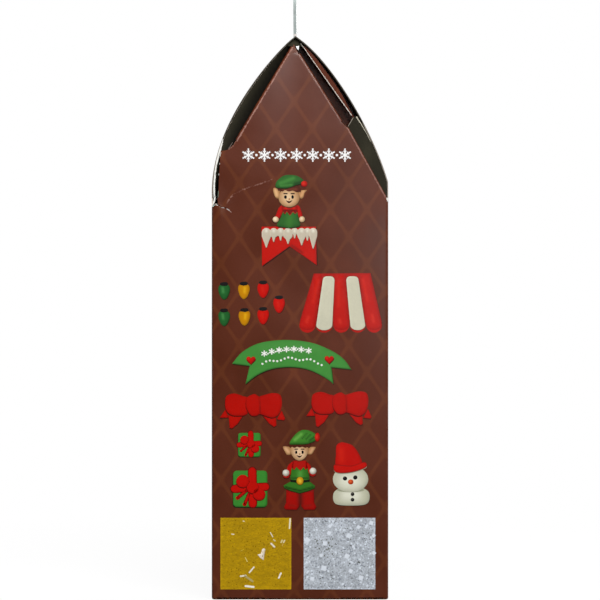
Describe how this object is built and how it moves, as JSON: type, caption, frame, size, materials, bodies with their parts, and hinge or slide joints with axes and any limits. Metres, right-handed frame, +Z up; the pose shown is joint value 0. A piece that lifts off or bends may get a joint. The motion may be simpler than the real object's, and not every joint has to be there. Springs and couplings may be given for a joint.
{
  "type": "gable top carton",
  "caption": "Tall shut gable-top carton of printed folding board for a gingerbread house baking kit, with bowed roof panels, gusset flaps and a ridge tab.",
  "frame": {"origin": "centre of the base, on the surface that the carton stands on", "axes": "+Z up to the ridge, X across the narrow ends, Y along the ridge; the pictured narrow end faces -Y"},
  "size_m": [0.0954, 0.254, 0.3331],
  "materials": {
    "printed_board": "offset-printed folding board with a satin varnish, brown with a lighter diamond lattice and coloured motifs",
    "inner_board": "bare grey-olive inner face of the recycled board, uncoated",
    "cut_edge": "raw cut and torn edge of the board, pale paper fibre"
  },
  "bodies": {
    "root": {"carton_body": "printed_board", "roof_left": "printed_board", "roof_right": "printed_board", "gable_near": "printed_board", "gusset_near": "inner_board", "roof_flap_near": "printed_board", "tuck_flap_near": "printed_board", "gable_far": "printed_board", "gusset_far": "inner_board", "roof_flap_far": "printed_board", "tuck_flap_far": "printed_board", "ridge_tab": "cut_edge"}
  },
  "joints": []
}
